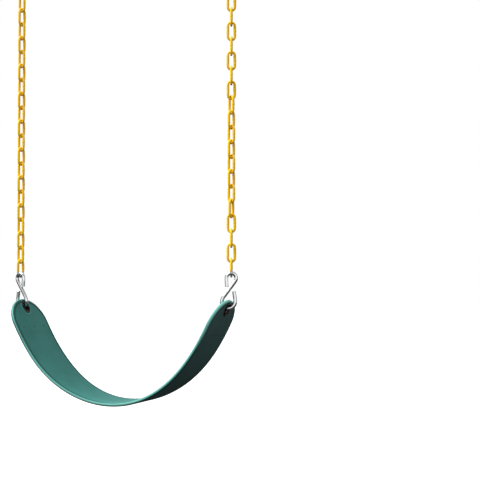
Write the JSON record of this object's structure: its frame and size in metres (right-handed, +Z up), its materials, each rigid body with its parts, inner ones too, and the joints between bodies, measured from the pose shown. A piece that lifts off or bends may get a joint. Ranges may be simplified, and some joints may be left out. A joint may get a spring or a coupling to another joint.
{
  "type": "belt swing seat",
  "caption": "Rubber belt swing seat hung by S-hooks on plastic-dipped chains that end in sprung snap hooks.",
  "frame": {"origin": "midway between the two snap hooks, level with the inside crown of their narrow loops, where the hangers carry them", "axes": "+X across the seat from the left chain to the right one, +Y the way the swing travels, away from a viewer in front, +Z up"},
  "size_m": [0.5055, 0.146, 0.969],
  "materials": {
    "belt_rubber": "moulded teal green, fine grain, lighter along the cut edge",
    "plate_steel": "rolled sheet",
    "eyelet_steel": "blackened, worn on the rim",
    "chain_coating": "glossy yellow plastic dip, bare steel at the lowest links",
    "hook_chrome": "bright plating",
    "snap_steel": "polished, zinc plated",
    "spring_steel": "drawn wire"
  },
  "bodies": {
    "hangers": {"snap_hook_left": "snap_steel", "gate_pin_left": "snap_steel", "snap_hook_right": "snap_steel", "gate_pin_right": "snap_steel"},
    "gate_left": {"snap_gate_left": "snap_steel", "gate_spring_left": "spring_steel"},
    "link_left_01": {"chain_link_left_01": "chain_coating"},
    "link_left_02": {"chain_link_left_02": "chain_coating"},
    "link_left_03": {"chain_link_left_03": "chain_coating"},
    "link_left_04": {"chain_link_left_04": "chain_coating"},
    "link_left_05": {"chain_link_left_05": "chain_coating"},
    "link_left_06": {"chain_link_left_06": "chain_coating"},
    "link_left_07": {"chain_link_left_07": "chain_coating"},
    "link_left_08": {"chain_link_left_08": "chain_coating"},
    "link_left_09": {"chain_link_left_09": "chain_coating"},
    "link_left_10": {"chain_link_left_10": "chain_coating"},
    "link_left_11": {"chain_link_left_11": "chain_coating"},
    "link_left_12": {"chain_link_left_12": "chain_coating"},
    "link_left_13": {"chain_link_left_13": "chain_coating"},
    "link_left_14": {"chain_link_left_14": "chain_coating"},
    "link_left_15": {"chain_link_left_15": "chain_coating"},
    "link_left_16": {"chain_link_left_16": "chain_coating"},
    "link_left_17": {"chain_link_left_17": "chain_coating"},
    "link_left_18": {"chain_link_left_18": "chain_coating"},
    "link_left_19": {"chain_link_left_19": "chain_coating"},
    "link_left_20": {"chain_link_left_20": "chain_coating"},
    "link_left_21": {"chain_link_left_21": "chain_coating"},
    "hook_left": {"s_hook_left": "hook_chrome"},
    "gate_right": {"snap_gate_right": "snap_steel", "gate_spring_right": "spring_steel"},
    "link_right_01": {"chain_link_right_01": "chain_coating"},
    "link_right_02": {"chain_link_right_02": "chain_coating"},
    "link_right_03": {"chain_link_right_03": "chain_coating"},
    "link_right_04": {"chain_link_right_04": "chain_coating"},
    "link_right_05": {"chain_link_right_05": "chain_coating"},
    "link_right_06": {"chain_link_right_06": "chain_coating"},
    "link_right_07": {"chain_link_right_07": "chain_coating"},
    "link_right_08": {"chain_link_right_08": "chain_coating"},
    "link_right_09": {"chain_link_right_09": "chain_coating"},
    "link_right_10": {"chain_link_right_10": "chain_coating"},
    "link_right_11": {"chain_link_right_11": "chain_coating"},
    "link_right_12": {"chain_link_right_12": "chain_coating"},
    "link_right_13": {"chain_link_right_13": "chain_coating"},
    "link_right_14": {"chain_link_right_14": "chain_coating"},
    "link_right_15": {"chain_link_right_15": "chain_coating"},
    "link_right_16": {"chain_link_right_16": "chain_coating"},
    "link_right_17": {"chain_link_right_17": "chain_coating"},
    "link_right_18": {"chain_link_right_18": "chain_coating"},
    "link_right_19": {"chain_link_right_19": "chain_coating"},
    "link_right_20": {"chain_link_right_20": "chain_coating"},
    "link_right_21": {"chain_link_right_21": "chain_coating"},
    "hook_right": {"s_hook_right": "hook_chrome"},
    "seat": {"seat_belt": "belt_rubber", "end_plate_left": "plate_steel", "end_plate_right": "plate_steel", "eyelet_left": "eyelet_steel", "eyelet_right": "eyelet_steel", "eyelet_washer_left": "eyelet_steel", "eyelet_washer_right": "eyelet_steel"}
  },
  "joints": [
    {"name": "chain_left_01", "type": "hinge", "parent": "hangers", "child": "link_left_01", "pos_m": [-0.23728, 0, -0.06772], "axis": [1, 0, 0], "range_deg": [-18, 18]},
    {"name": "chain_left_02", "type": "hinge", "parent": "link_left_01", "child": "link_left_02", "pos_m": [-0.23728, 0, -0.09575], "axis": [-1, 0, 0], "range_deg": [-18, 18]},
    {"name": "chain_left_03", "type": "hinge", "parent": "link_left_02", "child": "link_left_03", "pos_m": [-0.23728, 0, -0.12575], "axis": [1, 0, 0], "range_deg": [-18, 18]},
    {"name": "chain_left_04", "type": "hinge", "parent": "link_left_03", "child": "link_left_04", "pos_m": [-0.23728, 0, -0.15575], "axis": [-1, 0, 0], "range_deg": [-18, 18]},
    {"name": "chain_left_05", "type": "hinge", "parent": "link_left_04", "child": "link_left_05", "pos_m": [-0.23728, 0, -0.18575], "axis": [1, 0, 0], "range_deg": [-18, 18]},
    {"name": "chain_left_06", "type": "hinge", "parent": "link_left_05", "child": "link_left_06", "pos_m": [-0.23728, 0, -0.21575], "axis": [-1, 0, 0], "range_deg": [-18, 18]},
    {"name": "chain_left_07", "type": "hinge", "parent": "link_left_06", "child": "link_left_07", "pos_m": [-0.23728, 0, -0.24575], "axis": [1, 0, 0], "range_deg": [-18, 18]},
    {"name": "chain_left_08", "type": "hinge", "parent": "link_left_07", "child": "link_left_08", "pos_m": [-0.23728, 0, -0.27575], "axis": [-1, 0, 0], "range_deg": [-18, 18]},
    {"name": "chain_left_09", "type": "hinge", "parent": "link_left_08", "child": "link_left_09", "pos_m": [-0.23728, 0, -0.30575], "axis": [1, 0, 0], "range_deg": [-18, 18]},
    {"name": "chain_left_10", "type": "hinge", "parent": "link_left_09", "child": "link_left_10", "pos_m": [-0.23728, 0, -0.33575], "axis": [-1, 0, 0], "range_deg": [-18, 18]},
    {"name": "chain_left_11", "type": "hinge", "parent": "link_left_10", "child": "link_left_11", "pos_m": [-0.23728, 0, -0.36575], "axis": [1, 0, 0], "range_deg": [-18, 18]},
    {"name": "chain_left_12", "type": "hinge", "parent": "link_left_11", "child": "link_left_12", "pos_m": [-0.23728, 0, -0.39323], "axis": [-1, 0, 0], "range_deg": [-25, 25]},
    {"name": "chain_left_13", "type": "hinge", "parent": "link_left_12", "child": "link_left_13", "pos_m": [-0.23728, 0, -0.42827], "axis": [1, 0, 0], "range_deg": [-25, 25]},
    {"name": "chain_left_14", "type": "hinge", "parent": "link_left_13", "child": "link_left_14", "pos_m": [-0.23728, 0, -0.45323], "axis": [-1, 0, 0], "range_deg": [-25, 25]},
    {"name": "chain_left_15", "type": "hinge", "parent": "link_left_14", "child": "link_left_15", "pos_m": [-0.23728, 0, -0.48827], "axis": [1, 0, 0], "range_deg": [-25, 25]},
    {"name": "chain_left_16", "type": "hinge", "parent": "link_left_15", "child": "link_left_16", "pos_m": [-0.23728, 0, -0.51323], "axis": [-1, 0, 0], "range_deg": [-25, 25]},
    {"name": "chain_left_17", "type": "hinge", "parent": "link_left_16", "child": "link_left_17", "pos_m": [-0.23728, 0, -0.54827], "axis": [1, 0, 0], "range_deg": [-25, 25]},
    {"name": "chain_left_18", "type": "hinge", "parent": "link_left_17", "child": "link_left_18", "pos_m": [-0.23728, 0, -0.57323], "axis": [-1, 0, 0], "range_deg": [-25, 25]},
    {"name": "chain_left_19", "type": "hinge", "parent": "link_left_18", "child": "link_left_19", "pos_m": [-0.23728, 0, -0.60827], "axis": [1, 0, 0], "range_deg": [-25, 25]},
    {"name": "chain_left_20", "type": "hinge", "parent": "link_left_19", "child": "link_left_20", "pos_m": [-0.23728, 0, -0.63323], "axis": [-1, 0, 0], "range_deg": [-25, 25]},
    {"name": "chain_left_21", "type": "hinge", "parent": "link_left_20", "child": "link_left_21", "pos_m": [-0.23728, 0, -0.66827], "axis": [1, 0, 0], "range_deg": [-25, 25]},
    {"name": "hook_left", "type": "hinge", "parent": "link_left_21", "child": "hook_left", "pos_m": [-0.23728, 0, -0.69183], "axis": [-1, 0, 0], "range_deg": [-25, 25]},
    {"name": "chain_right_01", "type": "hinge", "parent": "hangers", "child": "link_right_01", "pos_m": [0.23728, 0, -0.06772], "axis": [1, 0, 0], "range_deg": [-18, 18]},
    {"name": "chain_right_02", "type": "hinge", "parent": "link_right_01", "child": "link_right_02", "pos_m": [0.23728, 0, -0.09575], "axis": [-1, 0, 0], "range_deg": [-18, 18]},
    {"name": "chain_right_03", "type": "hinge", "parent": "link_right_02", "child": "link_right_03", "pos_m": [0.23728, 0, -0.12575], "axis": [1, 0, 0], "range_deg": [-18, 18]},
    {"name": "chain_right_04", "type": "hinge", "parent": "link_right_03", "child": "link_right_04", "pos_m": [0.23728, 0, -0.15575], "axis": [-1, 0, 0], "range_deg": [-18, 18]},
    {"name": "chain_right_05", "type": "hinge", "parent": "link_right_04", "child": "link_right_05", "pos_m": [0.23728, 0, -0.18575], "axis": [1, 0, 0], "range_deg": [-18, 18]},
    {"name": "chain_right_06", "type": "hinge", "parent": "link_right_05", "child": "link_right_06", "pos_m": [0.23728, 0, -0.21575], "axis": [-1, 0, 0], "range_deg": [-18, 18]},
    {"name": "chain_right_07", "type": "hinge", "parent": "link_right_06", "child": "link_right_07", "pos_m": [0.23728, 0, -0.24575], "axis": [1, 0, 0], "range_deg": [-18, 18]},
    {"name": "chain_right_08", "type": "hinge", "parent": "link_right_07", "child": "link_right_08", "pos_m": [0.23728, 0, -0.27575], "axis": [-1, 0, 0], "range_deg": [-18, 18]},
    {"name": "chain_right_09", "type": "hinge", "parent": "link_right_08", "child": "link_right_09", "pos_m": [0.23728, 0, -0.30575], "axis": [1, 0, 0], "range_deg": [-18, 18]},
    {"name": "chain_right_10", "type": "hinge", "parent": "link_right_09", "child": "link_right_10", "pos_m": [0.23728, 0, -0.33575], "axis": [-1, 0, 0], "range_deg": [-18, 18]},
    {"name": "chain_right_11", "type": "hinge", "parent": "link_right_10", "child": "link_right_11", "pos_m": [0.23728, 0, -0.36575], "axis": [1, 0, 0], "range_deg": [-18, 18]},
    {"name": "chain_right_12", "type": "hinge", "parent": "link_right_11", "child": "link_right_12", "pos_m": [0.23728, 0, -0.39323], "axis": [-1, 0, 0], "range_deg": [-25, 25]},
    {"name": "chain_right_13", "type": "hinge", "parent": "link_right_12", "child": "link_right_13", "pos_m": [0.23728, 0, -0.42827], "axis": [1, 0, 0], "range_deg": [-25, 25]},
    {"name": "chain_right_14", "type": "hinge", "parent": "link_right_13", "child": "link_right_14", "pos_m": [0.23728, 0, -0.45323], "axis": [-1, 0, 0], "range_deg": [-25, 25]},
    {"name": "chain_right_15", "type": "hinge", "parent": "link_right_14", "child": "link_right_15", "pos_m": [0.23728, 0, -0.48827], "axis": [1, 0, 0], "range_deg": [-25, 25]},
    {"name": "chain_right_16", "type": "hinge", "parent": "link_right_15", "child": "link_right_16", "pos_m": [0.23728, 0, -0.51323], "axis": [-1, 0, 0], "range_deg": [-25, 25]},
    {"name": "chain_right_17", "type": "hinge", "parent": "link_right_16", "child": "link_right_17", "pos_m": [0.23728, 0, -0.54827], "axis": [1, 0, 0], "range_deg": [-25, 25]},
    {"name": "chain_right_18", "type": "hinge", "parent": "link_right_17", "child": "link_right_18", "pos_m": [0.23728, 0, -0.57323], "axis": [-1, 0, 0], "range_deg": [-25, 25]},
    {"name": "chain_right_19", "type": "hinge", "parent": "link_right_18", "child": "link_right_19", "pos_m": [0.23728, 0, -0.60827], "axis": [1, 0, 0], "range_deg": [-25, 25]},
    {"name": "chain_right_20", "type": "hinge", "parent": "link_right_19", "child": "link_right_20", "pos_m": [0.23728, 0, -0.63323], "axis": [-1, 0, 0], "range_deg": [-25, 25]},
    {"name": "chain_right_21", "type": "hinge", "parent": "link_right_20", "child": "link_right_21", "pos_m": [0.23728, 0, -0.66827], "axis": [1, 0, 0], "range_deg": [-25, 25]},
    {"name": "hook_right", "type": "hinge", "parent": "link_right_21", "child": "hook_right", "pos_m": [0.23728, 0, -0.69183], "axis": [-1, 0, 0], "range_deg": [-25, 25]},
    {"name": "seat_swing", "type": "hinge", "parent": "hook_left", "child": "seat", "pos_m": [-0.23202, -0.00192, -0.76179], "axis": [1, 0, 0], "range_deg": [-25, 25]},
    {"name": "gate_left", "type": "hinge", "parent": "hangers", "child": "gate_left", "pos_m": [-0.24976, 0.00454, -0.0425], "axis": [0.342, 0.9397, 0], "range_deg": [0, 20], "stiffness_Nm_per_rad": 0.15, "springref_deg": -45.84},
    {"name": "gate_right", "type": "hinge", "parent": "hangers", "child": "gate_right", "pos_m": [0.23274, 0.01248, -0.0425], "axis": [0.9397, 0.342, 0], "range_deg": [0, 20], "stiffness_Nm_per_rad": 0.15, "springref_deg": -45.84}
  ],
  "couplings": [
    {"joint": "chain_right_01", "follows": "chain_left_01", "ratio": 1},
    {"joint": "chain_right_02", "follows": "chain_left_02", "ratio": 1},
    {"joint": "chain_right_03", "follows": "chain_left_03", "ratio": 1},
    {"joint": "chain_right_04", "follows": "chain_left_04", "ratio": 1},
    {"joint": "chain_right_05", "follows": "chain_left_05", "ratio": 1},
    {"joint": "chain_right_06", "follows": "chain_left_06", "ratio": 1},
    {"joint": "chain_right_07", "follows": "chain_left_07", "ratio": 1},
    {"joint": "chain_right_08", "follows": "chain_left_08", "ratio": 1},
    {"joint": "chain_right_09", "follows": "chain_left_09", "ratio": 1},
    {"joint": "chain_right_10", "follows": "chain_left_10", "ratio": 1},
    {"joint": "chain_right_11", "follows": "chain_left_11", "ratio": 1},
    {"joint": "chain_right_12", "follows": "chain_left_12", "ratio": 1},
    {"joint": "chain_right_13", "follows": "chain_left_13", "ratio": 1},
    {"joint": "chain_right_14", "follows": "chain_left_14", "ratio": 1},
    {"joint": "chain_right_15", "follows": "chain_left_15", "ratio": 1},
    {"joint": "chain_right_16", "follows": "chain_left_16", "ratio": 1},
    {"joint": "chain_right_17", "follows": "chain_left_17", "ratio": 1},
    {"joint": "chain_right_18", "follows": "chain_left_18", "ratio": 1},
    {"joint": "chain_right_19", "follows": "chain_left_19", "ratio": 1},
    {"joint": "chain_right_20", "follows": "chain_left_20", "ratio": 1},
    {"joint": "chain_right_21", "follows": "chain_left_21", "ratio": 1},
    {"joint": "hook_right", "follows": "hook_left", "ratio": 1}
  ]
}
